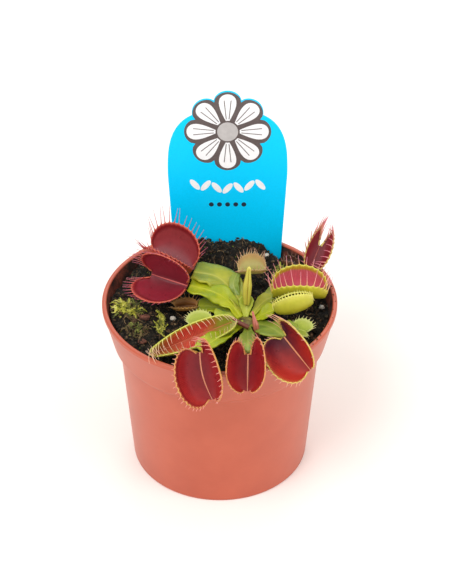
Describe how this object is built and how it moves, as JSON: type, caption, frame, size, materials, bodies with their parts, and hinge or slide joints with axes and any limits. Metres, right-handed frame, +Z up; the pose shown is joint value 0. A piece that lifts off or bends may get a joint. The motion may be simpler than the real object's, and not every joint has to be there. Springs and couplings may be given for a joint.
{
  "type": "potted venus flytrap",
  "caption": "Venus flytrap rosette with open and closed toothed traps in a tapered plastic nursery pot of peat, with moss and a plain plant label standing at the back.",
  "frame": {"origin": "centre of the pot's underside, on the surface it stands on", "axes": "+Z up, -Y towards the front that the traps hang over, +X to the right seen from the front"},
  "size_m": [0.085, 0.098, 0.1327],
  "materials": {
    "pot": "smooth moulded terracotta-coloured plastic",
    "soil": "damp dark peat",
    "tag": "printed bright blue plastic",
    "green": "fresh waxy leaf",
    "trap_red": "red trap, smooth inside",
    "trap_green": "yellow-green trap",
    "withered": "dry brown trap",
    "bud": "young rolled leaf",
    "moss": "soft moss",
    "bark": "rough bark",
    "perlite": "porous white grain"
  },
  "bodies": {
    "root": {"pot": "pot", "soil": "soil", "tag": "tag", "crown": "green", "trap_back_left": "trap_red", "trap_front_left": "trap_red", "trap_right_open": "trap_red", "trap_right_closed": "trap_green", "trap_back_right": "trap_red", "trap_back_pale": "trap_green", "trap_left_side": "trap_red", "trap_front_hanging_left": "trap_red", "trap_front_hanging_middle": "trap_red", "trap_front_hanging_right": "trap_red", "trap_right_small": "trap_green", "trap_left_small": "withered", "trap_left_pale": "trap_green", "trap_withered": "withered", "leaf_young": "green", "leaf_back_left": "green", "leaf_front_left": "green", "leaf_left_small": "green", "leaf_left_pale": "green", "leaf_right": "green", "leaf_right_low": "green", "leaf_front_right": "green", "leaf_right_small": "green", "leaf_back_right": "green", "leaf_back_pale": "green", "leaf_left_side": "green", "leaf_front_hanging_left": "green", "leaf_front_hanging_middle": "green", "trap_young": "bud", "bud_red": "bud", "bud_pink": "bud", "moss_left": "moss", "moss_left_front": "moss", "moss_left_strand": "moss", "moss_back_right": "moss", "bark_chip_left": "bark", "bark_chip_front": "bark", "perlite_left": "perlite", "perlite_right": "perlite", "perlite_back": "perlite"}
  },
  "joints": []
}
